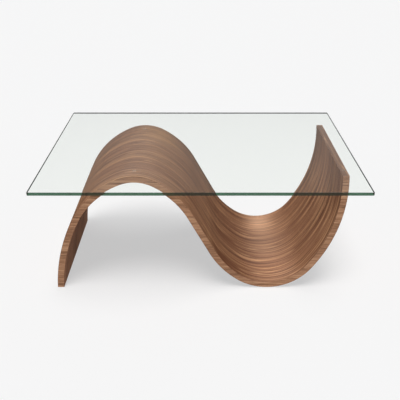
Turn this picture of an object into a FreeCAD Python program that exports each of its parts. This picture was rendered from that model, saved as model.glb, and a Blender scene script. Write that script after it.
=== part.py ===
import FreeCAD, Part
import math
import os

# Coffee table: a loose glass top on a wave that is laminated from bent plywood and faced with walnut.
# X runs along the table, Y across it and Z up from the floor. The origin lies under the glass's middle.

# Glass top
glass_length = 1000.0
glass_depth = 700.0
glass_thickness = 10.0
glass_corner_radius = 4.0
glass_arris = 0.8

# Wave: its height and depth outside, and the radii of its middle line
wave_height = 403.0
wave_depth = 450.0
trough_x = 220.0
crown_radius = 132.0
shoulder_radius = 275.0
trough_radius = 166.0

# Slopes, in degrees from level, where one radius of the middle line passes into the next
foot_slope = 87.0
leg_slope = 63.0
crown_left_slope = 22.0
crown_right_slope = 28.0
flank_slope = 61.5
trough_left_slope = 34.0
trough_right_slope = 53.0
tip_slope = 95.0

# Layers of the wave
ply_thickness = 4.0
ply_count = 5
veneer_thickness = 0.6
leaf_names = ("front", "middle", "rear")
edge_band_thickness = 1.5
end_band_thickness = 1.5

# Pads under the glass and glides on the floor, each a pair set in from the wave's long edges
pad_diameter = 14.0
pad_thickness = 2.0
pad_inset = 40.0
glide_diameter = 18.0
glide_thickness = 1.0
glide_inset = 40.0
rim_bevel = 0.5

# How far a disc reaches into the wave before the wave's own curve trims it
overrun = 5.0


def sind(slope):
    return math.sin(math.radians(slope))


def cosd(slope):
    return math.cos(math.radians(slope))


def drop(radius, upper_slope, lower_slope):
    """Height between two slopes on one arc of a hump."""
    return radius * (cosd(upper_slope) - cosd(lower_slope))


def run(radius, upper_slope, lower_slope):
    """Distance along X between two slopes on one arc of a hump."""
    return radius * (sind(lower_slope) - sind(upper_slope))


# Heights of the stack: floor, glides, wave, pads, glass
core_thickness = ply_count * ply_thickness
wave_thickness = core_thickness + 2 * veneer_thickness
wave_bottom = glide_thickness
wave_top = wave_bottom + wave_height
glass_bottom = wave_top + pad_thickness
half_core = core_thickness / 2
foot_core = wave_bottom + end_band_thickness
tip_core = wave_top - end_band_thickness

# Places across the table: the wave's long edges, and the core between its edge bands
wave_front = -wave_depth / 2
wave_rear = wave_depth / 2
core_front = wave_front + edge_band_thickness
core_rear = wave_rear - edge_band_thickness

# The middle line: the flank's straight, and the leg and tip radii, take up the height that is left
crest_z = wave_top - wave_thickness / 2
trough_z = wave_bottom + wave_thickness / 2
flank_arcs = (
    (crown_radius, 0, crown_right_slope),
    (shoulder_radius, crown_right_slope, flank_slope),
    (shoulder_radius, trough_left_slope, flank_slope),
    (trough_radius, 0, trough_left_slope),
)
flank_rise = crest_z - trough_z - sum(drop(*arc) for arc in flank_arcs)
flank_run = flank_rise / math.tan(math.radians(flank_slope))
crest_x = trough_x - flank_run - sum(run(*arc) for arc in flank_arcs)
leg_rise = (
    crest_z
    - wave_bottom
    - drop(crown_radius, 0, crown_left_slope)
    - drop(shoulder_radius, crown_left_slope, leg_slope)
)
leg_radius = leg_rise / (cosd(leg_slope) - cosd(foot_slope))
tip_rise = wave_top - trough_z - drop(trough_radius, 0, trough_right_slope)
tip_radius = tip_rise / (cosd(trough_right_slope) - cosd(tip_slope))


def square_to(slope):
    """Unit vector square to a line of this slope, on its upper side."""
    return FreeCAD.Vector(-sind(slope), 0, cosd(slope))


class Bend:
    """One arc of the middle line; side is 1 over a hump and -1 in a hollow."""

    def __init__(self, centre, radius, side):
        self.centre = centre
        self.radius = radius
        self.side = side

    def next(self, slope, radius):
        """The arc that carries on smoothly from this one at a slope."""
        return Bend(self.centre + square_to(slope) * self.side * (self.radius - radius), radius, self.side)

    def point(self, slope, offset):
        """The point of this slope on the line that lies offset above the middle line."""
        return self.centre + square_to(slope) * (self.side * self.radius + offset)

    def slope_at(self, level, offset):
        """The slope where that line passes a level."""
        return math.degrees(math.acos((level - self.centre.z) / (self.side * self.radius + offset)))

    def edge(self, first_slope, last_slope, offset):
        """The stretch of that line between two slopes."""
        slopes = (first_slope, (first_slope + last_slope) / 2, last_slope)
        return Part.Arc(*(self.point(slope, offset) for slope in slopes)).toShape()


crown = Bend(FreeCAD.Vector(crest_x, 0, crest_z - crown_radius), crown_radius, 1)
left_shoulder = crown.next(crown_left_slope, shoulder_radius)
leg = left_shoulder.next(leg_slope, leg_radius)
right_shoulder = crown.next(-crown_right_slope, shoulder_radius)
trough = Bend(FreeCAD.Vector(trough_x, 0, trough_z + trough_radius), trough_radius, -1)
trough_shoulder = trough.next(-trough_left_slope, shoulder_radius)
tip = trough.next(trough_right_slope, tip_radius)


def wave_line(offset, foot_level, tip_level):
    """Edges of the line at offset above the middle line, from the foot's cut over to the tip's cut."""
    flank_start = right_shoulder.point(-flank_slope, offset)
    flank_end = trough_shoulder.point(-flank_slope, offset)
    return [
        leg.edge(leg.slope_at(foot_level, offset), leg_slope, offset),
        left_shoulder.edge(leg_slope, crown_left_slope, offset),
        crown.edge(crown_left_slope, -crown_right_slope, offset),
        right_shoulder.edge(-crown_right_slope, -flank_slope, offset),
        Part.makeLine(flank_start, flank_end),
        trough_shoulder.edge(-flank_slope, -trough_left_slope, offset),
        trough.edge(-trough_left_slope, trough_right_slope, offset),
        tip.edge(trough_right_slope, tip.slope_at(tip_level, offset), offset),
    ]


def layer(lower, upper, foot_level, tip_level, front, rear):
    """A sheet between two lines of the wave, from one plane across the table to another."""
    under = wave_line(lower, foot_level, tip_level)
    over = wave_line(upper, foot_level, tip_level)
    tip_cut = Part.makeLine(tip.point(tip.slope_at(tip_level, lower), lower),
                            tip.point(tip.slope_at(tip_level, upper), upper))
    foot_cut = Part.makeLine(leg.point(leg.slope_at(foot_level, upper), upper),
                             leg.point(leg.slope_at(foot_level, lower), lower))
    outline = Part.Face(Part.Wire(under + [tip_cut] + over[::-1] + [foot_cut]))
    outline.translate(FreeCAD.Vector(0, front, 0))
    return outline.extrude(FreeCAD.Vector(0, rear - front, 0))


def end_strip(bend, low, high):
    """A level strip of the core's thickness at one end of the wave, between the edge bands."""
    lower = bend.edge(bend.slope_at(low, -half_core), bend.slope_at(high, -half_core), -half_core)
    upper = bend.edge(bend.slope_at(low, half_core), bend.slope_at(high, half_core), half_core)
    bottom = Part.makeLine(bend.point(bend.slope_at(low, -half_core), -half_core),
                           bend.point(bend.slope_at(low, half_core), half_core))
    top = Part.makeLine(bend.point(bend.slope_at(high, half_core), half_core),
                        bend.point(bend.slope_at(high, -half_core), -half_core))
    outline = Part.Face(Part.Wire([lower, top, upper, bottom]))
    outline.translate(FreeCAD.Vector(0, core_front, 0))
    return outline.extrude(FreeCAD.Vector(0, core_rear - core_front, 0))


def disc(diameter, x, y, seat, face):
    """An upright disc from its seat on the wave to its free face, with the free rim bevelled."""
    along = FreeCAD.Vector(0, 0, math.copysign(1, face - seat))
    shape = Part.makeCylinder(diameter / 2, abs(face - seat), FreeCAD.Vector(x, y, seat), along)
    circles = [edge for edge in shape.Edges if edge.Closed]
    rim = min(circles, key=lambda edge: abs(edge.CenterOfMass.z - face))
    return shape.makeChamfer(rim_bevel, [rim])


def disc_pair(diameter, x, inset, seat, face):
    """Two discs in line across the table, set in alike from the wave's long edges."""
    return [disc(diameter, x, y, seat, face) for y in (wave_front + inset, wave_rear - inset)]


def save(name, solids):
    Part.makeCompound(solids).exportStep(os.path.join("parts", name + ".step"))


os.makedirs("parts", exist_ok=True)

# Glass top: a rounded rectangle with a ground arris all round, above and below
glass = Part.makeBox(glass_length, glass_depth, glass_thickness,
                     FreeCAD.Vector(-glass_length / 2, -glass_depth / 2, glass_bottom))
upright_edges = [edge for edge in glass.Edges if edge.BoundBox.ZLength > glass_arris]
glass = glass.makeFillet(glass_corner_radius, upright_edges)
level_edges = [edge for edge in glass.Edges if edge.BoundBox.ZLength < glass_arris]
save("glass_top", [glass.makeChamfer(glass_arris, level_edges)])

# Core: sheets of bending ply pressed one over the other, from the upper face down
for index in range(ply_count):
    upper = half_core - index * ply_thickness
    sheet = layer(upper - ply_thickness, upper, foot_core, tip_core, core_front, core_rear)
    save("bending_ply_%d" % (index + 1), [sheet])

# Bands that close the core's two long edges and its two ends
for name, front, rear in (("front", wave_front, core_front), ("rear", core_rear, wave_rear)):
    save(name + "_edge_band", [layer(-half_core, half_core, wave_bottom, wave_top, front, rear)])
save("foot_end_band", [end_strip(leg, wave_bottom, foot_core)])
save("tip_end_band", [end_strip(tip, tip_core, wave_top)])

# Face veneers: leaves laid side by side over the core and its bands, above and below
leaf_width = wave_depth / len(leaf_names)
for face, lower in (("top", half_core), ("under", -half_core - veneer_thickness)):
    for index, leaf in enumerate(leaf_names):
        front = wave_front + index * leaf_width
        sheet = layer(lower, lower + veneer_thickness, wave_bottom, wave_top, front, front + leaf_width)
        save("%s_veneer_%s" % (face, leaf), [sheet])

# Pads and glides: discs on the two cut ends, and discs hollowed to fit the crest and the trough
wave_body = layer(-wave_thickness / 2, wave_thickness / 2, wave_bottom, wave_top, wave_front, wave_rear)
tip_x = tip.point(tip.slope_at(wave_top, 0), 0).x
foot_x = leg.point(leg.slope_at(wave_bottom, 0), 0).x
crest_discs = disc_pair(pad_diameter, crest_x, pad_inset, wave_top - overrun, glass_bottom)
trough_discs = disc_pair(glide_diameter, trough_x, glide_inset, wave_bottom + overrun, 0)
save("tip_pads", disc_pair(pad_diameter, tip_x, pad_inset, wave_top, glass_bottom))
save("crest_pads", [pad.cut(wave_body) for pad in crest_discs])
save("foot_glides", disc_pair(glide_diameter, foot_x, glide_inset, wave_bottom, 0))
save("trough_glides", [glide.cut(wave_body) for glide in trough_discs])
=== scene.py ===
import logging
import math
from dataclasses import dataclass, field, replace
from enum import Enum
from typing import Any, Callable, Iterable

import bmesh
import bpy
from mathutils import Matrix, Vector


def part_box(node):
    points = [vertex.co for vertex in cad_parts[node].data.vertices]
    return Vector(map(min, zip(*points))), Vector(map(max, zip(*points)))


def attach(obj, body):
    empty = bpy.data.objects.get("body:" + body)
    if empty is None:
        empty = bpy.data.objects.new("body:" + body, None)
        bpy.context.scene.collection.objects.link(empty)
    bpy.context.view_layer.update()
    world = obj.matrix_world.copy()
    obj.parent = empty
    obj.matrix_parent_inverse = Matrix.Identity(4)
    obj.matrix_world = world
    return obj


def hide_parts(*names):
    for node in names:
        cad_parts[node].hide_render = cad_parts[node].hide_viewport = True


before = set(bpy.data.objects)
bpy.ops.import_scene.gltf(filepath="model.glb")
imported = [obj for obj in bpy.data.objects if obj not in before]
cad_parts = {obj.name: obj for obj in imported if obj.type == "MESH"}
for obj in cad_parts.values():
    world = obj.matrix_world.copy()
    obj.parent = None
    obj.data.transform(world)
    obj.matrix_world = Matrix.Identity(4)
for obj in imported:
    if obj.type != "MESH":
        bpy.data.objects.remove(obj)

log = logging.getLogger("wave_table")

MM = 0.001
GRAIN_MAP = "grain"
SLICE_ATTRIBUTE = "slice"
WHITE = "#ffffff"
GLASS_IOR = 1.52

# A noise runs from 0 to 1 about its middle value, and its detail is the number of finer octaves
NOISE_MIDDLE = 0.5
PLAIN_DETAIL = 1.0
FINE_DETAIL = 2.0

# The Mix node's sockets share their names, so those for plain values and for colours go by number
MIX_SHARE = 0
VALUE_A = 2
VALUE_B = 3
VALUE_MIXED = 0
COLOUR_A = 6
COLOUR_B = 7
COLOUR_MIXED = 2


def linear(colour: str) -> tuple[float, float, float, float]:
    """Turns an sRGB hex colour into linear light, by the standard sRGB curve.

    Args:
        colour: Six hex digits after a hash sign.

    Returns:
        Linear red, green and blue, and an alpha of 1.
    """
    channels = [int(colour[i:i + 2], 16) / 255 for i in (1, 3, 5)]
    return (*(c / 12.92 if c <= 0.04045 else ((c + 0.055) / 1.055) ** 2.4 for c in channels), 1.0)


def per_mm(size_mm: float) -> float:
    """Repeats per metre of a pattern whose features are this many millimetres wide."""
    return 1 / (size_mm * MM)


def add_node(
    owner: bpy.types.Material | bpy.types.World,
    kind: str,
    inputs: dict[str | int, Any] | None = None,
    links: dict[str | int, bpy.types.NodeSocket] | None = None,
    **settings: Any,
) -> bpy.types.Node:
    """Adds a node to a material or a world, with its settings, values and incoming links.

    Args:
        owner: The material or world that gets the node.
        kind: The node's type name in Blender.
        inputs: Plain values, by input name or index.
        links: Sockets to link from, by input name or index.
        **settings: The node's own properties.

    Returns:
        The new node.
    """
    tree = owner.node_tree
    node = tree.nodes.new(kind)
    for name, value in settings.items():
        setattr(node, name, value)
    for key, value in (inputs or {}).items():
        node.inputs[key].default_value = value
    for key, socket in (links or {}).items():
        tree.links.new(socket, node.inputs[key])
    return node


def new_material(name: str) -> bpy.types.Material:
    """Makes an empty node material.

    Args:
        name: The material's name.

    Returns:
        The material, with no nodes in it.
    """
    material = bpy.data.materials.new(name)
    material.use_nodes = True
    material.node_tree.nodes.clear()
    return material


class Grain(Enum):
    """Which coordinates a wood's grain follows."""

    ALONG_WAVE = "the sheet's own map, along the bent line"
    LEVEL = "the object's X axis"
    ACROSS = "the object's Y axis"


@dataclass(frozen=True)
class Streaks:
    """One set of streaks in a wood: how wide and long they are, and how much they change its tone."""

    width_mm: float
    length_mm: float
    share: float


@dataclass(frozen=True)
class FigureAndLightPatch:
    """A soft-edged place where a leaf's colour changes, along it, across it and through the slices: the
    wood's own figure, with painted light where it is paler and painted shade where it is darker.
    """

    colour: str
    share: float
    middle_mm: tuple[float, float, float]
    reach_mm: tuple[float, float, float]


@dataclass(frozen=True)
class Wood:
    """Wood that is cut into leaves, under satin lacquer.

    The cut leaves long streaks with the grain, straw lines where a growth ring ends, dark veins, and open
    pores that read as short dark dashes. The lacquer is thin, so the gloss is satin and the pores break it.
    """

    name: str
    grain: Grain
    tones: tuple[tuple[float, str], ...]
    streaks: tuple[Streaks, ...]
    # Patches of the wood's figure, which also hold painted light and painted shade
    patches: tuple[FigureAndLightPatch, ...] = ()
    length_mm: float = 600.0
    ring_mm: float = 18.0
    ring_colour: str = "#bb926c"
    ring_share: float = 0.4
    # Half the width of a ring's line and of a vein's, in the values of the noise that draws them
    ring_width: float = 0.022
    vein_mm: float = 26.0
    vein_colour: str = "#432a1c"
    vein_share: float = 0.4
    vein_width: float = 0.02
    # Real pores are 0.2 mm wide: they are drawn wider here, because finer ones don't show in the render
    pore_mm: float = 0.8
    pore_length_mm: float = 14.0
    pore_values: tuple[float, float] = (0.60, 0.70)
    pore_share: float = 0.35
    pore_depth_mm: float = 0.05
    pore_bump: float = 0.35
    # The grain sways from side to side, so many times in the length of its streaks
    sway_mm: float = 70.0
    sways: int = 3
    wander_mm: float = 10.0
    # Where a noise starts, in shares of its own width, so that no two sets of streaks coincide
    place_shares: tuple[float, float, float] = (1.7, 3.1, 1.0)
    octave_share: float = 0.55
    tone_values: tuple[float, float] = (0.3, 0.7)
    roughness: tuple[float, float] = (0.32, 0.44)
    shine: float = 0.14
    ior: float = 1.5

    def coordinates(self, material: bpy.types.Material) -> bpy.types.NodeSocket:
        """Adds the grain's coordinates: metres along it, across it and through the slices.

        Args:
            material: The material that gets the nodes.

        Returns:
            The vector socket.
        """
        if self.grain is Grain.ALONG_WAVE:
            sheet = add_node(material, "ShaderNodeUVMap", uv_map=GRAIN_MAP)
            slices = add_node(material, "ShaderNodeAttribute", attribute_name=SLICE_ATTRIBUTE)
            split = add_node(material, "ShaderNodeSeparateXYZ", links={0: sheet.outputs["UV"]})
            joined = add_node(material, "ShaderNodeCombineXYZ", links={
                "X": split.outputs["X"], "Y": split.outputs["Y"], "Z": slices.outputs["Fac"]})
            return joined.outputs["Vector"]
        along, across, through = "XZY" if self.grain is Grain.LEVEL else "YXZ"
        place = add_node(material, "ShaderNodeTexCoord")
        split = add_node(material, "ShaderNodeSeparateXYZ", links={0: place.outputs["Object"]})
        joined = add_node(material, "ShaderNodeCombineXYZ", links={
            "X": split.outputs[along], "Y": split.outputs[across], "Z": split.outputs[through]})
        return joined.outputs["Vector"]

    def noise(
        self,
        material: bpy.types.Material,
        where: bpy.types.NodeSocket,
        width_mm: float,
        length_mm: float,
        detail: float = PLAIN_DETAIL,
    ) -> bpy.types.NodeSocket:
        """Adds noise that is drawn out along the grain.

        Args:
            material: The material that gets the nodes.
            where: The grain's coordinates.
            width_mm: The noise's size across the grain.
            length_mm: Its size along the grain.
            detail: How many finer octaves it has.

        Returns:
            The noise, from 0 to 1.
        """
        scaled = add_node(material, "ShaderNodeMapping", {
            "Location": [width_mm * share for share in self.place_shares],
            "Scale": (per_mm(length_mm), per_mm(width_mm), 1)}, {"Vector": where})
        made = add_node(material, "ShaderNodeTexNoise", {
            "Scale": 1.0, "Detail": detail, "Roughness": self.octave_share}, {
            "Vector": scaled.outputs["Vector"]})
        return made.outputs["Fac"]

    def bent(self, material: bpy.types.Material) -> bpy.types.NodeSocket:
        """Adds coordinates in which the growth rings wander a little across the leaf.

        Args:
            material: The material that gets the nodes.

        Returns:
            The vector socket.
        """
        where = self.coordinates(material)
        sway = self.noise(material, where, self.sway_mm, self.length_mm / self.sways)
        shift = add_node(material, "ShaderNodeMath", {1: NOISE_MIDDLE}, {0: sway}, operation="SUBTRACT")
        reach = add_node(material, "ShaderNodeMath", {1: self.wander_mm * MM}, {0: shift.outputs[0]},
                         operation="MULTIPLY")
        push = add_node(material, "ShaderNodeCombineXYZ", links={"Y": reach.outputs[0]})
        moved = add_node(material, "ShaderNodeVectorMath", links={0: where, 1: push.outputs[0]},
                         operation="ADD")
        return moved.outputs[0]

    def over(
        self,
        material: bpy.types.Material,
        colour: bpy.types.NodeSocket,
        tint: str,
        share: bpy.types.NodeSocket,
    ) -> bpy.types.NodeSocket:
        """Lays a tint over a colour by a varying share.

        Args:
            material: The material that gets the node.
            colour: The colour below.
            tint: The colour on top.
            share: How much of the tint shows.

        Returns:
            The mixed colour.
        """
        mixed = add_node(material, "ShaderNodeMix", {COLOUR_B: linear(tint)}, {
            MIX_SHARE: share, COLOUR_A: colour}, data_type="RGBA")
        return mixed.outputs[COLOUR_MIXED]

    def patch(
        self, material: bpy.types.Material, where: bpy.types.NodeSocket, patch: FigureAndLightPatch,
    ) -> bpy.types.NodeSocket:
        """Adds the share by which a patch shows.

        Args:
            material: The material that gets the nodes.
            where: The grain's coordinates.
            patch: The patch.

        Returns:
            The share, which fades from the patch's middle to its edge.
        """
        scaled = add_node(material, "ShaderNodeMapping", {
            "Location": [-middle / reach for middle, reach in zip(patch.middle_mm, patch.reach_mm)],
            "Scale": [per_mm(reach) for reach in patch.reach_mm]}, {"Vector": where})
        off = add_node(material, "ShaderNodeVectorMath", links={0: scaled.outputs["Vector"]},
                       operation="LENGTH")
        faded = add_node(material, "ShaderNodeMapRange", {
            "From Min": 1.0, "From Max": 0.0, "To Max": patch.share}, {"Value": off.outputs["Value"]},
            interpolation_type="SMOOTHSTEP")
        return faded.outputs["Result"]

    def contour(
        self, material: bpy.types.Material, noise: bpy.types.NodeSocket, width: float, share: float,
    ) -> bpy.types.NodeSocket:
        """Draws thin lines where a noise passes its middle value.

        Args:
            material: The material that gets the nodes.
            noise: The noise.
            width: Half of the lines' width, in the noise's values.
            share: The lines' strength in their middle.

        Returns:
            The lines, from 0 to share.
        """
        centre = add_node(material, "ShaderNodeMath", {1: NOISE_MIDDLE}, {0: noise}, operation="SUBTRACT")
        off = add_node(material, "ShaderNodeMath", links={0: centre.outputs[0]}, operation="ABSOLUTE")
        line = add_node(material, "ShaderNodeMapRange", {
            "From Min": 0.0, "From Max": width, "To Min": share, "To Max": 0.0}, {"Value": off.outputs[0]})
        return line.outputs["Result"]

    def tone(self, material: bpy.types.Material, where: bpy.types.NodeSocket) -> bpy.types.NodeSocket:
        """Adds the wood's tone, as the sum of its sets of streaks.

        Args:
            material: The material that gets the nodes.
            where: The grain's coordinates.

        Returns:
            The tone, from 0 to 1.
        """
        total: bpy.types.NodeSocket | None = None
        for streaks in self.streaks:
            noise = self.noise(material, where, streaks.width_mm, streaks.length_mm, FINE_DETAIL)
            below = {2: total} if total else {}
            total = add_node(material, "ShaderNodeMath", {1: streaks.share, 2: 0.0}, {0: noise, **below},
                             operation="MULTIPLY_ADD").outputs[0]
        return total

    def material(self) -> bpy.types.Material:
        """Makes the wood's material.

        Returns:
            The material.
        """
        made = new_material(self.name)
        where = self.bent(made)
        tone = self.tone(made, where)
        ramp = add_node(made, "ShaderNodeValToRGB", links={"Fac": tone})
        for _ in range(len(self.tones) - len(ramp.color_ramp.elements)):
            ramp.color_ramp.elements.new(NOISE_MIDDLE)
        for element, (place, shade) in zip(ramp.color_ramp.elements, self.tones):
            element.position = place
            element.color = linear(shade)
        rings = self.noise(made, where, self.ring_mm, self.length_mm)
        veins = self.noise(made, where, self.vein_mm, self.length_mm)
        pores = self.noise(made, where, self.pore_mm, self.pore_length_mm)
        shallow, deep = self.pore_values
        pitted = add_node(made, "ShaderNodeMapRange", {
            "From Min": shallow, "From Max": deep, "To Max": self.pore_share}, {"Value": pores})
        # The patches add the wood's figure, with painted light and painted shade laid over it
        layers = [(patch.colour, self.patch(made, where, patch)) for patch in self.patches]
        layers.append((self.vein_colour, self.contour(made, veins, self.vein_width, self.vein_share)))
        layers.append((self.ring_colour, self.contour(made, rings, self.ring_width, self.ring_share)))
        layers.append((self.vein_colour, pitted.outputs["Result"]))
        colour = ramp.outputs["Color"]
        for tint, share in layers:
            colour = self.over(made, colour, tint, share)
        dark, light = self.tone_values
        smooth, coarse = self.roughness
        rough = add_node(made, "ShaderNodeMapRange", {
            "From Min": dark, "From Max": light, "To Min": smooth, "To Max": coarse}, {"Value": tone})
        bump = add_node(made, "ShaderNodeBump", {
            "Strength": self.pore_bump, "Distance": self.pore_depth_mm * MM}, {
            "Height": pores}, invert=True)
        shader = add_node(made, "ShaderNodeBsdfPrincipled", {
            "IOR": self.ior, "Specular IOR Level": self.shine}, {
            "Base Color": colour, "Roughness": rough.outputs["Result"], "Normal": bump.outputs["Normal"]})
        add_node(made, "ShaderNodeOutputMaterial", links={"Surface": shader.outputs[0]})
        return made


@dataclass(frozen=True)
class FloatGlass:
    """The drawn faces of toughened float glass, clear with a trace of green.

    Light that meets the inside of a face too flatly passes straight on here, so that what is behind the
    pane still shows in its edges, as it does in thin glass.
    """

    name: str = "clear_float_glass"
    tint: str = "#fcfffc"
    # Lower than glass's own, because the photographed pane mirrors little, as through a polarising filter
    ior: float = 1.2
    trapped_from: float = 0.99

    def material(self) -> bpy.types.Material:
        """Makes the glass's material.

        Returns:
            The material.
        """
        made = new_material(self.name)
        glass = add_node(made, "ShaderNodeBsdfPrincipled", {
            "Base Color": linear(self.tint), "IOR": self.ior, "Roughness": 0.0, "Transmission Weight": 1.0})
        straight = add_node(made, "ShaderNodeBsdfTransparent", {"Color": linear(self.tint)})
        fresnel = add_node(made, "ShaderNodeFresnel", {"IOR": self.ior})
        trapped = add_node(made, "ShaderNodeMath", {1: self.trapped_from}, {0: fresnel.outputs[0]},
                           operation="GREATER_THAN")
        mixed = add_node(made, "ShaderNodeMixShader", links={
            0: trapped.outputs[0], 1: glass.outputs[0], 2: straight.outputs[0]})
        add_node(made, "ShaderNodeOutputMaterial", links={"Surface": mixed.outputs[0]})
        return made


@dataclass(frozen=True)
class GlassEdge:
    """The polished edge of float glass.

    From outside it is deep green, because the eye looks through the pane's whole width. From inside it
    turns the light away and reads dark, so that the far edges are thin dark lines.
    """

    name: str = "polished_float_glass_edge"
    tint: str = "#44745e"
    haze: str = "#927f76"
    haze_share: float = 0.2
    roughness: float = 0.08
    dark: str = "#1d211e"

    def material(self) -> bpy.types.Material:
        """Makes the edge's material.

        Returns:
            The material.
        """
        made = new_material(self.name)
        straight = add_node(made, "ShaderNodeBsdfTransparent", {"Color": linear(self.tint)})
        polish = add_node(made, "ShaderNodeBsdfPrincipled", {
            "Base Color": linear(self.haze), "Roughness": self.roughness, "IOR": GLASS_IOR})
        outside = add_node(made, "ShaderNodeMixShader", {0: self.haze_share}, {
            1: straight.outputs[0], 2: polish.outputs[0]})
        inside = add_node(made, "ShaderNodeBsdfTransparent", {"Color": linear(self.dark)})
        side = add_node(made, "ShaderNodeNewGeometry")
        mixed = add_node(made, "ShaderNodeMixShader", links={
            0: side.outputs["Backfacing"], 1: outside.outputs[0], 2: inside.outputs[0]})
        add_node(made, "ShaderNodeOutputMaterial", links={"Surface": mixed.outputs[0]})
        return made


@dataclass(frozen=True)
class GroundArris:
    """The narrow bevel that is ground along the glass's edges: it is matt, and its dark colour is painted
    shade, so that it reads as a dark line.
    """

    name: str = "ground_glass_arris"
    # Painted shade: the arris is drawn dark, for the light that it turns away
    colour: str = "#363b38"
    fleck: str = "#484e4a"
    # Grinding leaves marks of 0.1 mm: they are drawn wider here, because finer ones don't show
    mark_mm: float = 2.0
    roughness: float = 0.8

    def material(self) -> bpy.types.Material:
        """Makes the arris's material.

        Returns:
            The material.
        """
        made = new_material(self.name)
        place = add_node(made, "ShaderNodeTexCoord")
        marks = add_node(made, "ShaderNodeTexNoise", {
            "Scale": per_mm(self.mark_mm), "Detail": PLAIN_DETAIL}, {"Vector": place.outputs["Object"]})
        mix = add_node(made, "ShaderNodeMix", {
            COLOUR_A: linear(self.colour), COLOUR_B: linear(self.fleck)}, {
            MIX_SHARE: marks.outputs["Fac"]}, data_type="RGBA")
        shader = add_node(made, "ShaderNodeBsdfPrincipled", {
            "Roughness": self.roughness, "Specular IOR Level": 0.0}, {
            "Base Color": mix.outputs[COLOUR_MIXED]})
        add_node(made, "ShaderNodeOutputMaterial", links={"Surface": shader.outputs[0]})
        return made


@dataclass(frozen=True)
class Moulded:
    """A moulded plastic with the faint mottle of its mould; a clear one lets what is behind it show."""

    name: str
    colour: str
    dark: str
    mottle_mm: float
    roughness: float
    alpha: float = 1.0
    ior: float = 1.45

    def material(self) -> bpy.types.Material:
        """Makes the plastic's material.

        Returns:
            The material.
        """
        made = new_material(self.name)
        place = add_node(made, "ShaderNodeTexCoord")
        noise = add_node(made, "ShaderNodeTexNoise", {
            "Scale": per_mm(self.mottle_mm), "Detail": FINE_DETAIL}, {"Vector": place.outputs["Object"]})
        mix = add_node(made, "ShaderNodeMix", {
            COLOUR_A: linear(self.dark), COLOUR_B: linear(self.colour)}, {
            MIX_SHARE: noise.outputs["Fac"]}, data_type="RGBA")
        shader = add_node(made, "ShaderNodeBsdfPrincipled", {
            "Roughness": self.roughness, "IOR": self.ior, "Alpha": self.alpha}, {
            "Base Color": mix.outputs[COLOUR_MIXED]})
        add_node(made, "ShaderNodeOutputMaterial", links={"Surface": shader.outputs[0]})
        return made


@dataclass(frozen=True)
class LightTable:
    """White acrylic lit from below, which keeps a product's shadows faint and grey."""

    name: str = "back_lit_white_acrylic"
    colour: str = "#b8b8b8"
    glow_colour: str = "#f9fdff"
    glow: float = 0.513

    def material(self) -> bpy.types.Material:
        """Makes the floor's material.

        Returns:
            The material.
        """
        made = new_material(self.name)
        shader = add_node(made, "ShaderNodeBsdfPrincipled", {
            "Base Color": linear(self.colour), "Roughness": 1.0, "Specular IOR Level": 0.0,
            "Emission Color": linear(self.glow_colour), "Emission Strength": self.glow})
        add_node(made, "ShaderNodeOutputMaterial", links={"Surface": shader.outputs[0]})
        return made


# Golden, dusky and paler patches lie along the face veneer, about where the photograph shows them: the
# wood's figure, with painted shade in the dusky ones down in the trough, painted light in the paler ones,
# and in part a painted sheen in the golden one
VENEER = Wood(
    "sliced_walnut_veneer", Grain.ALONG_WAVE,
    tones=((0.40, "#4a3022"), (0.465, "#624230"), (0.50, "#6f4d38"), (0.54, "#7d5941"), (0.61, "#95704f")),
    streaks=(
        Streaks(40.0, 600.0, 0.08),
        Streaks(14.0, 500.0, 0.15),
        Streaks(9.0, 450.0, 0.40),
        Streaks(5.0, 350.0, 0.37),
    ),
    patches=(
        FigureAndLightPatch("#96704a", 0.50, (570.0, 85.0, 75.0), (120.0, 110.0, 60.0)),
        FigureAndLightPatch("#a07a62", 0.14, (760.0, 75.0, 50.0), (150.0, 400.0, 150.0)),
        FigureAndLightPatch("#502d1c", 0.72, (905.0, 15.0, 0.0), (180.0, 110.0, 60.0)),
        FigureAndLightPatch("#502d1c", 0.43, (1030.0, 75.0, 40.0), (140.0, 300.0, 130.0)),
        FigureAndLightPatch("#a07a62", 0.12, (1170.0, 75.0, 50.0), (110.0, 400.0, 150.0)),
    ),
)
# The under faces' veneer: a lighter copy of the face veneer, which is painted light on under faces that get
# little light
BACKING_WITH_PAINTED_LIGHT = replace(
    VENEER, name="walnut_backing_veneer_painted_light",
    tones=((0.37, "#60412f"), (0.46, "#7a5440"), (0.50, "#865e47"), (0.55, "#926850"), (0.64, "#a4785e")),
)
# The end strips' wood: a darker copy of the face veneer, which is painted shade, because the strips face up
# and catch more light than the faces beside them
END_STRIP_WITH_PAINTED_SHADE = replace(
    VENEER, name="walnut_end_strip_painted_shade", grain=Grain.ACROSS, patches=(),
    tones=((0.37, "#3d281d"), (0.46, "#4f3527"), (0.50, "#573d2d"), (0.55, "#614534"), (0.64, "#71513c")),
)
BAND = Wood(
    "walnut_edge_band", Grain.LEVEL,
    tones=((0.34, "#6b4b36"), (0.44, "#8a644b"), (0.50, "#9c7357"), (0.57, "#ac8264"), (0.68, "#be9878")),
    streaks=(Streaks(18.0, 200.0, 0.16), Streaks(8.0, 120.0, 0.34), Streaks(4.0, 80.0, 0.50)),
    length_mm=200.0, ring_mm=12.0, ring_share=0.3, wander_mm=5.0,
)
PLY = Wood(
    "rotary_cut_poplar_ply", Grain.LEVEL,
    tones=((0.34, "#b7946a"), (0.44, "#c4a27a"), (0.50, "#cfae87"), (0.57, "#d8b993"), (0.68, "#e2c6a2")),
    streaks=(Streaks(40.0, 600.0, 0.6), Streaks(9.0, 300.0, 0.4)),
    ring_colour="#e6cdab", vein_colour="#a9855e",
)
PAD = Moulded("clear_cast_polyurethane", "#d8d2c8", "#c8c2b8", mottle_mm=4.0, roughness=0.12, alpha=0.06)
GLIDE = Moulded("moulded_brown_nylon", "#4a3a30", "#3a2c24", mottle_mm=3.0, roughness=0.45)


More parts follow.
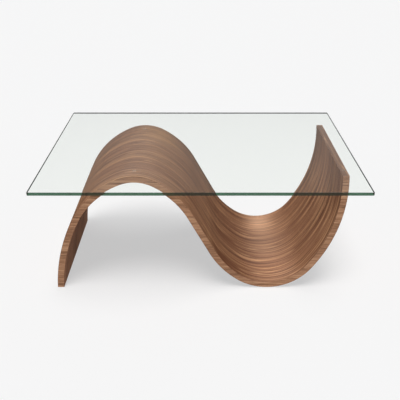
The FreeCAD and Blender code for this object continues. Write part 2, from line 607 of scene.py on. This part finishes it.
def deselect_all() -> None:
    """Leaves object mode with nothing selected."""
    if bpy.context.object and bpy.context.object.mode != "OBJECT":
        bpy.ops.object.mode_set(mode="OBJECT")
    bpy.ops.object.select_all(action="DESELECT")


def start_piece(name: str) -> bpy.types.Object:
    """Names the primitive that was just added and applies its place and size.

    Args:
        name: The piece's name.

    Returns:
        The piece.
    """
    piece = bpy.context.object
    piece.name = piece.data.name = name
    bpy.ops.object.transform_apply(location=True, rotation=True, scale=True)
    return piece


def select_edges(piece: bpy.types.Object, wanted: Callable[[Vector, Vector], bool]) -> None:
    """Selects, in edit mode, only the edges whose two ends a test accepts.

    Args:
        piece: The object in edit mode.
        wanted: Says yes or no to an edge's two ends.
    """
    bpy.ops.mesh.select_mode(type="EDGE")
    bpy.ops.mesh.select_all(action="DESELECT")
    mesh = bmesh.from_edit_mesh(piece.data)
    for edge in mesh.edges:
        edge.select = wanted(edge.verts[0].co, edge.verts[1].co)
    mesh.select_flush_mode()
    bmesh.update_edit_mesh(piece.data)


def smooth_piece(piece: bpy.types.Object, degrees: float) -> None:
    """Ends edit mode and shades a piece smooth, apart from its sharper edges.

    Args:
        piece: The piece.
        degrees: The angle from which an edge stays sharp.
    """
    deselect_all()
    piece.select_set(True)
    bpy.context.view_layer.objects.active = piece
    bpy.ops.object.shade_smooth_by_angle(angle=math.radians(degrees))


def dress(nodes: Iterable[str], material: bpy.types.Material) -> None:
    """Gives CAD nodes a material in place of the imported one.

    Args:
        nodes: The nodes' names.
        material: The material they get.
    """
    for name in nodes:
        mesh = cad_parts[name].data
        mesh.materials.clear()
        mesh.materials.append(material)
        log.info("dressed %s in %s", name, material.name)


@dataclass(frozen=True)
class Bend:
    """One arc of the wave's middle line; side is 1 over a hump and -1 in a hollow."""

    x: float
    z: float
    radius: float
    side: int

    def following(self, slope: float, radius: float) -> "Bend":
        """The arc that carries on smoothly from this one.

        Args:
            slope: Where it takes over, in degrees from level.
            radius: Its radius.

        Returns:
            The next arc.
        """
        reach = self.side * (self.radius - radius)
        angle = math.radians(slope)
        return Bend(self.x - reach * math.sin(angle), self.z + reach * math.cos(angle), radius, self.side)

    def point(self, slope: float, offset: float) -> Vector:
        """A point of the line that lies offset above the middle line.

        Args:
            slope: The line's slope there, in degrees from level.
            offset: Height above the middle line.

        Returns:
            The point, in the plane of symmetry.
        """
        reach = self.side * self.radius + offset
        angle = math.radians(slope)
        return Vector((self.x - reach * math.sin(angle), 0, self.z + reach * math.cos(angle)))

    def slope_of(self, x: float, z: float) -> float:
        """The slope, in degrees, of the parallel line through a point."""
        return math.degrees(math.atan2(self.side * (self.x - x), self.side * (z - self.z)))


@dataclass
class WaveLine:
    """The wave's middle line, as arcs that run into each other and one straight flank."""

    thickness: float = 21.2 * MM
    trough_x: float = 220 * MM
    crown_radius: float = 132 * MM
    shoulder_radius: float = 275 * MM
    trough_radius: float = 166 * MM
    foot_slope: float = 87.0
    leg_slope: float = 63.0
    crown_left_slope: float = 22.0
    crown_right_slope: float = 28.0
    flank_slope: float = 61.5
    trough_left_slope: float = 34.0
    trough_right_slope: float = 53.0
    tip_slope: float = 95.0
    # How far past an arc's end a point may lie and still count as beside that arc
    slack_degrees: float = 0.05
    # A gap between two arcs that is shorter than this is no straight stretch
    shortest_straight: float = 1 * MM
    spans: list[tuple[Bend, float, float]] = field(init=False)

    def __post_init__(self) -> None:
        """Works the arcs out from the wave's height in the frame."""
        low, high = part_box("front_edge_band")
        bottom, top = low.z, high.z
        crest_z = top - self.thickness / 2
        trough_z = bottom + self.thickness / 2
        flank_arcs = (
            (self.crown_radius, 0, self.crown_right_slope),
            (self.shoulder_radius, self.crown_right_slope, self.flank_slope),
            (self.shoulder_radius, self.trough_left_slope, self.flank_slope),
            (self.trough_radius, 0, self.trough_left_slope),
        )
        rise = crest_z - trough_z - sum(self.drop(*arc) for arc in flank_arcs)
        run = rise / math.tan(math.radians(self.flank_slope)) + sum(self.run(*arc) for arc in flank_arcs)
        crown = Bend(self.trough_x - run, crest_z - self.crown_radius, self.crown_radius, 1)
        trough = Bend(self.trough_x, trough_z + self.trough_radius, self.trough_radius, -1)
        leg_rise = (crest_z - bottom - self.drop(self.crown_radius, 0, self.crown_left_slope)
                    - self.drop(self.shoulder_radius, self.crown_left_slope, self.leg_slope))
        leg_radius = leg_rise / self.drop(1, self.leg_slope, self.foot_slope)
        tip_rise = top - trough_z - self.drop(self.trough_radius, 0, self.trough_right_slope)
        tip_radius = tip_rise / self.drop(1, self.trough_right_slope, self.tip_slope)
        left_shoulder = crown.following(self.crown_left_slope, self.shoulder_radius)
        leg = left_shoulder.following(self.leg_slope, leg_radius)
        right_shoulder = crown.following(-self.crown_right_slope, self.shoulder_radius)
        fall = trough.following(-self.trough_left_slope, self.shoulder_radius)
        tip = trough.following(self.trough_right_slope, tip_radius)
        self.spans = [
            (leg, self.foot_slope, self.leg_slope),
            (left_shoulder, self.leg_slope, self.crown_left_slope),
            (crown, self.crown_left_slope, -self.crown_right_slope),
            (right_shoulder, -self.crown_right_slope, -self.flank_slope),
            (fall, -self.flank_slope, -self.trough_left_slope),
            (trough, -self.trough_left_slope, self.trough_right_slope),
            (tip, self.trough_right_slope, self.tip_slope),
        ]

    @staticmethod
    def drop(radius: float, upper: float, lower: float) -> float:
        """Height between two slopes on one arc of a hump."""
        return radius * (math.cos(math.radians(upper)) - math.cos(math.radians(lower)))

    @staticmethod
    def run(radius: float, upper: float, lower: float) -> float:
        """Distance along X between two slopes on one arc of a hump."""
        return radius * (math.sin(math.radians(lower)) - math.sin(math.radians(upper)))

    def straight_before(self, index: int) -> Vector:
        """The straight stretch that leads to an arc.

        Args:
            index: The arc's number from the foot.

        Returns:
            The stretch from the arc before, which has no length where there is none.
        """
        if index == 0:
            return Vector((0, 0, 0))
        bend, first, _ = self.spans[index]
        before, _, last = self.spans[index - 1]
        straight = bend.point(first, 0) - before.point(last, 0)
        return straight if straight.length > self.shortest_straight else Vector((0, 0, 0))

    def distance(self, x: float, z: float) -> float:
        """Distance along the middle line from the foot to the place beside a point.

        Args:
            x: The point's X.
            z: The point's Z, within the wave's thickness of the middle line.

        Returns:
            The distance.
        """
        gone = 0.0
        for index, (bend, first, last) in enumerate(self.spans):
            straight = self.straight_before(index)
            if straight.length:
                point = Vector((x, 0, z)) - bend.point(first, 0) + straight
                ahead = point.dot(straight.normalized())
                aside = point.cross(straight.normalized()).length
                if 0 <= ahead <= straight.length and aside < self.thickness:
                    return gone + ahead
                gone += straight.length
            slope = bend.slope_of(x, z)
            lowest = min(first, last) - self.slack_degrees
            highest = max(first, last) + self.slack_degrees
            off_line = abs(math.hypot(x - bend.x, z - bend.z) - bend.radius)
            if lowest <= slope <= highest and off_line < self.thickness:
                return gone + bend.radius * math.radians(abs(slope - first))
            gone += bend.radius * math.radians(abs(last - first))
        return gone


@dataclass
class WaveBase:
    """The laminated wave: its veneers are rebuilt with a grain map, and its other nodes are dressed."""

    line: WaveLine
    veneer_thickness: float = 0.6 * MM
    arris: float = 0.25 * MM
    arris_steps: int = 2
    step_degrees: float = 1.6
    fewest_steps: int = 2
    sharp_degrees: float = 30.0
    leaf_names: tuple[str, ...] = ("front", "middle", "rear")
    # Neighbouring leaves are cut this far apart in the log, so their figures differ a little
    slice_step: float = 35 * MM
    # Points closer than the first are one point; edges within the second lie on one plane; an edge that
    # gets on by more than the third runs along the wave
    merge: float = 0.001 * MM
    touch: float = 0.01 * MM
    headway: float = 0.1 * MM

    def build(self) -> None:
        """Builds and dresses the wave."""
        half = self.line.thickness / 2
        faces = (("top", half - self.veneer_thickness, VENEER), ("under", -half, BACKING_WITH_PAINTED_LIGHT))
        for face, lower, finish in faces:
            material = finish.material()
            for index, leaf in enumerate(self.leaf_names):
                self.build_leaf(f"{face}_veneer_{leaf}", lower, index, material)
        dress(("front_edge_band", "rear_edge_band"), BAND.material())
        dress(("tip_end_band", "foot_end_band"), END_STRIP_WITH_PAINTED_SHADE.material())
        dress([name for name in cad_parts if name.startswith("bending_ply")], PLY.material())
        dress(("crest_pads", "tip_pads"), PAD.material())
        dress(("foot_glides", "trough_glides"), GLIDE.material())

    def build_leaf(self, node: str, lower: float, index: int, material: bpy.types.Material) -> None:
        """Builds one leaf of veneer: its foot end, spun round each bend and drawn down the flank.

        Args:
            node: The CAD node that the leaf stands for.
            lower: Height of the leaf's under face above the middle line.
            index: The leaf's number from the front.
            material: The leaf's material.
        """
        low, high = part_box(node)
        front, rear = low.y, high.y
        leg, foot_slope, _ = self.line.spans[0]
        middle = leg.point(foot_slope, lower + self.veneer_thickness / 2)
        deselect_all()
        bpy.ops.mesh.primitive_plane_add(
            size=1, location=(middle.x, (front + rear) / 2, middle.z),
            rotation=(0, math.pi / 2 - math.radians(foot_slope), 0))
        bpy.context.object.scale = (self.veneer_thickness, rear - front, 1)
        leaf = start_piece(f"{node}_leaf")
        bpy.ops.object.mode_set(mode="EDIT")
        bpy.ops.mesh.select_all(action="SELECT")
        for number, (bend, first, last) in enumerate(self.line.spans):
            straight = self.line.straight_before(number)
            if straight.length:
                bpy.ops.mesh.extrude_region_move(TRANSFORM_OT_translate={"value": straight})
            bpy.ops.mesh.spin(
                steps=max(self.fewest_steps, round(abs(last - first) / self.step_degrees)),
                angle=math.radians(last - first), center=(bend.x, 0, bend.z), axis=(0, 1, 0))
        bpy.ops.mesh.select_all(action="SELECT")
        bpy.ops.mesh.remove_doubles(threshold=self.merge)
        bpy.ops.mesh.normals_make_consistent(inside=False)
        outer = {0: front, len(self.leaf_names) - 1: rear}.get(index)
        if outer is not None:
            select_edges(leaf, lambda a, b: self.runs_along(a, b, outer))
            bpy.ops.mesh.bevel(offset=self.arris, segments=self.arris_steps, affect="EDGES")
        smooth_piece(leaf, self.sharp_degrees)
        self.map_grain(leaf, front, index)
        leaf.data.materials.append(material)
        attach(leaf, "wave_base")
        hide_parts(node)
        log.info("built %s for %s", leaf.name, node)

    def runs_along(self, a: Vector, b: Vector, y: float) -> bool:
        """Says whether an edge lies in a plane across the table and runs along the wave.

        Args:
            a: The edge's one end.
            b: Its other end.
            y: The plane's place.

        Returns:
            True for such an edge.
        """
        if max(abs(a.y - y), abs(b.y - y)) >= self.touch:
            return False
        return abs(self.line.distance(a.x, a.z) - self.line.distance(b.x, b.z)) > self.headway

    def map_grain(self, leaf: bpy.types.Object, front: float, index: int) -> None:
        """Maps a leaf in metres along the wave and across the leaf, and numbers its slice.

        Args:
            leaf: The leaf's object.
            front: Y of the leaf's front edge.
            index: The leaf's number from the front.
        """
        mesh = leaf.data
        grain = mesh.uv_layers[0] if mesh.uv_layers else mesh.uv_layers.new()
        grain.name = GRAIN_MAP
        places = [(self.line.distance(v.co.x, v.co.z), v.co.y - front) for v in mesh.vertices]
        for loop in mesh.loops:
            grain.data[loop.index].uv = places[loop.vertex_index]
        slices = mesh.attributes.new(SLICE_ATTRIBUTE, "FLOAT", "POINT")
        slices.data.foreach_set("value", [index * self.slice_step] * len(mesh.vertices))


class PaneSlot(Enum):
    """The pane's material slots, in order."""

    FACE = 0
    EDGE = 1
    ARRIS = 2


@dataclass
class GlassTop:
    """The loose glass top, with round corners and a ground arris."""

    face: FloatGlass = FloatGlass()
    edge: GlassEdge = GlassEdge()
    ground: GroundArris = GroundArris()
    corner_radius: float = 4 * MM
    corner_steps: int = 8
    arris: float = 1 * MM
    sharp_degrees: float = 20.0
    # An edge that climbs more than this is upright
    upright_climb: float = 1 * MM
    # How far a face's normal leans up or down: more than the first in a level face, and less than the
    # second in an upright one
    level_lean: float = 0.9
    upright_lean: float = 0.1

    def build(self) -> bpy.types.Object:
        """Builds and dresses the glass.

        Returns:
            The pane.
        """
        low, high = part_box("glass_top")
        deselect_all()
        bpy.ops.mesh.primitive_cube_add(size=1, location=(low + high) / 2)
        bpy.context.object.scale = high - low
        glass = start_piece("glass_pane")
        bpy.ops.object.mode_set(mode="EDIT")
        select_edges(glass, lambda a, b: abs(a.z - b.z) > self.upright_climb)
        bpy.ops.mesh.bevel(offset=self.corner_radius, segments=self.corner_steps, affect="EDGES")
        select_edges(glass, lambda a, b: abs(a.z - b.z) < self.upright_climb)
        bpy.ops.mesh.bevel(offset=self.arris, segments=1, affect="EDGES")
        smooth_piece(glass, self.sharp_degrees)
        for finish in (self.face, self.edge, self.ground):
            glass.data.materials.append(finish.material())
        for face in glass.data.polygons:
            face.material_index = self.slot_of(abs(face.normal.z)).value
        # Light passes the pane as if it were not there, so that none is counted twice under it
        glass.visible_shadow = False
        glass.visible_diffuse = False
        glass.visible_glossy = False
        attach(glass, "glass")
        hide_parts("glass_top")
        log.info("built %s for glass_top", glass.name)
        return glass

    def slot_of(self, lean: float) -> PaneSlot:
        """Says which finish a face has.

        Args:
            lean: How far its normal leans up or down, from 0 to 1.

        Returns:
            The slot of that finish.
        """
        if lean > self.level_lean:
            return PaneSlot.FACE
        return PaneSlot.ARRIS if lean > self.upright_lean else PaneSlot.EDGE


class Lights(Enum):
    """What a lamp lights, as the state of the floor and the pane among the things that it may light."""

    FLOOR_AND_PANE = "INCLUDE"
    ALL_ELSE = "EXCLUDE"


@dataclass(frozen=True)
class Overhead:
    """A broad lamp far above, which tilts forwards and to the left."""

    name: str
    lights: Lights
    strength: float
    forward_degrees: float
    left_degrees: float
    width_degrees: float
    colour: str = WHITE

    def hang(self) -> bpy.types.Object:
        """Adds the lamp.

        Returns:
            The lamp's object.
        """
        bpy.ops.object.light_add(type="SUN", rotation=(
            math.radians(self.forward_degrees), math.radians(-self.left_degrees), 0))
        lamp = bpy.context.object
        lamp.name = self.name
        lamp.data.energy = self.strength
        lamp.data.angle = math.radians(self.width_degrees)
        lamp.data.color = linear(self.colour)[:3]
        return lamp


@dataclass(frozen=True)
class Panel:
    """A small lamp that is aimed at one place on the table."""

    name: str
    watts: float
    colour: str
    place: tuple[float, float, float]
    aim: tuple[float, float, float]
    size: tuple[float, float]
    spread_degrees: float
    lights: Lights = Lights.ALL_ELSE

    def hang(self) -> bpy.types.Object:
        """Adds the lamp.

        Returns:
            The lamp's object.
        """
        towards = Vector(self.aim) - Vector(self.place)
        bpy.ops.object.light_add(
            type="AREA", location=self.place, rotation=towards.to_track_quat("-Z", "Y").to_euler())
        lamp = bpy.context.object
        lamp.name = self.name
        lamp.data.shape = "RECTANGLE"
        lamp.data.size, lamp.data.size_y = self.size
        lamp.data.energy = self.watts
        lamp.data.color = linear(self.colour)[:3]
        lamp.data.spread = math.radians(self.spread_degrees)
        lamp.visible_camera = False
        lamp.visible_transmission = False
        return lamp


@dataclass
class Studio:
    """The pale floor, the soft light and the camera at the photograph's angle."""

    floor_size: float = 60.0
    floor_finish: LightTable = LightTable()
    seen_level: float = 0.92
    mirrored_level: float = 0.43
    band_level: float = 0.30
    room_level: float = 0.03
    # The heights between which the bright band grows and fades, as sines of their angles above level
    band_rise: tuple[float, float] = (0.05, 0.30)
    band_fall: tuple[float, float] = (0.75, 0.50)
    lamps: tuple[Overhead | Panel, ...] = (
        # Two suns for the floor and the pane alone, so that the table's shadow is faint and soft
        Overhead("floor_light", Lights.FLOOR_AND_PANE, strength=1.8,
                 forward_degrees=16, left_degrees=4, width_degrees=30, colour="#fffaf8"),
        Overhead("floor_fill", Lights.FLOOR_AND_PANE, strength=0.76,
                 forward_degrees=-8, left_degrees=-10, width_degrees=30, colour="#fffaf8"),
        # A dome and a key for the wood
        Overhead("table_dome", Lights.ALL_ELSE, strength=4.1,
                 forward_degrees=0, left_degrees=0, width_degrees=120),
        Overhead("table_light", Lights.ALL_ELSE, strength=1.5,
                 forward_degrees=10, left_degrees=30, width_degrees=40),
        # A low lamp behind the table, whose gloss runs along the bottom of the trough
        Panel("sheen_light", watts=0.13, colour="#ffd2ac", place=(0.28, 1.0, 0.29),
              aim=(0.23, -0.02, 0.03), size=(0.3, 0.2), spread_degrees=40),
        # Narrow lamps on the tip's inner side and on the front of the trough
        Panel("tip_light", watts=0.068, colour="#e2ebff", place=(-0.45, -0.25, 0.8),
              aim=(0.43, 0.05, 0.34), size=(0.1, 0.1), spread_degrees=18),
        Panel("trough_light", watts=0.029, colour="#ffeedd", place=(0.25, -0.55, 1.1),
              aim=(0.235, -0.15, 0.03), size=(0.1, 0.1), spread_degrees=10),
    )
    camera_place: tuple[float, float, float] = (-0.0015, -1.8649, 1.1826)
    camera_pitch_degrees: float = 23.677
    lens_mm: float = 53.32
    shift: float = -0.1

    def build(self, pane: bpy.types.Object) -> None:
        """Sets up the floor, the light and the camera.

        Args:
            pane: The table's glass.
        """
        deselect_all()
        bpy.ops.mesh.primitive_plane_add(size=self.floor_size)
        floor = start_piece("studio_floor")
        floor.data.materials.append(self.floor_finish.material())
        floor.visible_glossy = False
        self.build_sky()
        for lamp in self.lamps:
            lit = bpy.data.collections.new(f"{lamp.name}_reach")
            for piece in (floor, pane):
                lit.objects.link(piece)
            for member in lit.collection_objects:
                member.light_linking.link_state = lamp.lights.value
            lamp.hang().light_linking.receiver_collection = lit
        tilt = math.pi / 2 - math.radians(self.camera_pitch_degrees)
        bpy.ops.object.camera_add(location=self.camera_place, rotation=(tilt, 0, 0))
        camera = bpy.context.object
        camera.data.lens = self.lens_mm
        camera.data.shift_y = self.shift
        bpy.context.scene.camera = camera
        bpy.context.scene.view_settings.view_transform = "Standard"
        log.info("set up the studio")

    def build_sky(self) -> None:
        """Makes the room that lights the table: dim, with a bright band all round.

        The glass mirrors an even screen in its place, and a line of sight meets a pale backdrop.
        """
        sky = bpy.data.worlds.new("studio_sky")
        sky.use_nodes = True
        sky.node_tree.nodes.clear()
        place = add_node(sky, "ShaderNodeTexCoord")
        split = add_node(sky, "ShaderNodeSeparateXYZ", links={0: place.outputs["Generated"]})
        rise, fall = (
            add_node(sky, "ShaderNodeMapRange", {"From Min": start, "From Max": end}, {
                "Value": split.outputs["Z"]}, interpolation_type="SMOOTHSTEP")
            for start, end in (self.band_rise, self.band_fall))
        band = add_node(sky, "ShaderNodeMath", links={
            0: rise.outputs["Result"], 1: fall.outputs["Result"]}, operation="MULTIPLY")
        room = add_node(sky, "ShaderNodeMix", {VALUE_A: self.room_level, VALUE_B: self.band_level}, {
            MIX_SHARE: band.outputs[0]}, data_type="FLOAT")
        path = add_node(sky, "ShaderNodeLightPath")
        # Only the glass mirrors sharply
        sharp = add_node(sky, "ShaderNodeMath", links={
            0: path.outputs["Is Singular Ray"], 1: path.outputs["Is Reflection Ray"]}, operation="MULTIPLY")
        mirrored = add_node(sky, "ShaderNodeMix", {VALUE_B: self.mirrored_level}, {
            MIX_SHARE: sharp.outputs[0], VALUE_A: room.outputs[VALUE_MIXED]}, data_type="FLOAT")
        # A line of sight comes straight from the eye, or through the glass
        seen = add_node(sky, "ShaderNodeMath", links={
            0: path.outputs["Is Camera Ray"], 1: path.outputs["Is Transmission Ray"]}, operation="MAXIMUM")
        level = add_node(sky, "ShaderNodeMix", {VALUE_B: self.seen_level}, {
            MIX_SHARE: seen.outputs[0], VALUE_A: mirrored.outputs[VALUE_MIXED]}, data_type="FLOAT")
        light = add_node(sky, "ShaderNodeBackground", {"Color": linear(WHITE)}, {
            "Strength": level.outputs[VALUE_MIXED]})
        add_node(sky, "ShaderNodeOutputWorld", links={"Surface": light.outputs[0]})
        bpy.context.scene.world = sky


def main() -> None:
    """Builds the table and its studio, in order."""
    logging.basicConfig()
    log.setLevel(logging.INFO)
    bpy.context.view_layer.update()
    WaveBase(WaveLine()).build()
    pane = GlassTop().build()
    Studio().build(pane)


if __name__ == "__main__":
    main()
